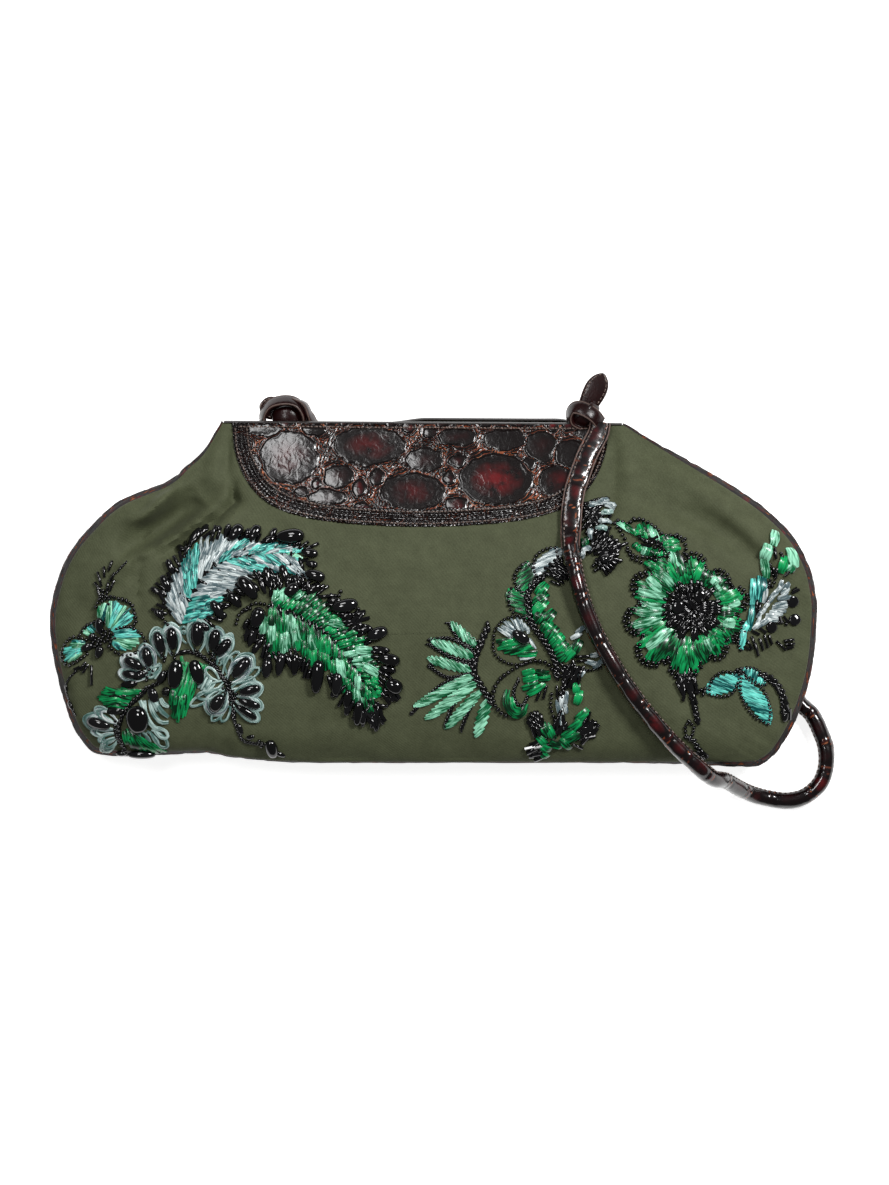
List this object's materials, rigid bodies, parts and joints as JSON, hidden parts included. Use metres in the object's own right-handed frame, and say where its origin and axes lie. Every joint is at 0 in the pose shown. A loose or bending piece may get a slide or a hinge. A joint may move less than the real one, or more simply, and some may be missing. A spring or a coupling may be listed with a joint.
{
  "type": "clutch bag",
  "caption": "Soft fabric clutch bag lying on its back, with crocodile-pattern leather yokes, a knotted leather strap, bead and ribbon flowers, and a mouth that opens.",
  "frame": {"origin": "on the flat patch of the back panel that the bag rests on, below the middle of its length", "axes": "+X along the bag's length, +Y from its base to its mouth, +Z out of its front panel"},
  "size_m": [0.3902, 0.2195, 0.0627],
  "materials": {
    "olive_fabric": "matt woven cotton satin",
    "croc_leather": "glazed, crocodile-pattern embossed",
    "facing_leather": "smooth, low gloss",
    "strap_leather": "glazed, crocodile-pattern embossed",
    "lining_satin": "satin",
    "spring_steel": "plain",
    "snap_metal": "plated",
    "grey_board": "pressed fibre board",
    "aqua_ribbon": "satin raffia ribbon with glass beads",
    "green_ribbon": "satin raffia ribbon with glass beads",
    "mint_ribbon": "satin raffia ribbon with glass beads",
    "black_bead": "polished glass-like beads"
  },
  "bodies": {
    "bag": {"front_panel": "olive_fabric", "back_panel": "olive_fabric", "gusset_left": "croc_leather", "gusset_right": "croc_leather", "gusset_base": "croc_leather", "back_yoke": "croc_leather", "back_facing": "facing_leather", "back_stay": "spring_steel", "back_snap": "snap_metal", "lining_front": "lining_satin", "lining_back": "lining_satin", "inner_pocket": "lining_satin", "base_board": "grey_board", "strap_roll": "strap_leather", "strap_flat_left": "strap_leather", "strap_taper_right": "strap_leather", "strap_knot_left": "strap_leather", "strap_tab_left": "strap_leather", "aqua_frond": "aqua_ribbon", "green_frond": "green_ribbon", "bead_tail": "black_bead", "scroll_sprig": "green_ribbon", "bugle_spray": "black_bead", "ribbon_sprig": "aqua_ribbon", "flower_stem": "black_bead", "pebble_flower_low": "mint_ribbon", "pebble_flower_high": "mint_ribbon", "end_flower": "aqua_ribbon", "round_flower": "green_ribbon", "flower_bud": "green_ribbon", "fan_sprig": "mint_ribbon", "aqua_leaves": "aqua_ribbon"},
    "mouth_front": {"front_yoke": "croc_leather", "front_facing": "facing_leather", "front_stay": "spring_steel", "front_snap": "snap_metal", "strap_tab_right": "strap_leather", "strap_knot_right": "strap_leather", "strap_flat_right": "strap_leather"}
  },
  "joints": [
    {"name": "mouth_open", "type": "hinge", "parent": "bag", "child": "mouth_front", "pos_m": [-0.0075, 0.0322, 0.0466], "axis": [1, 0, 0], "range_deg": [0, 30]}
  ]
}
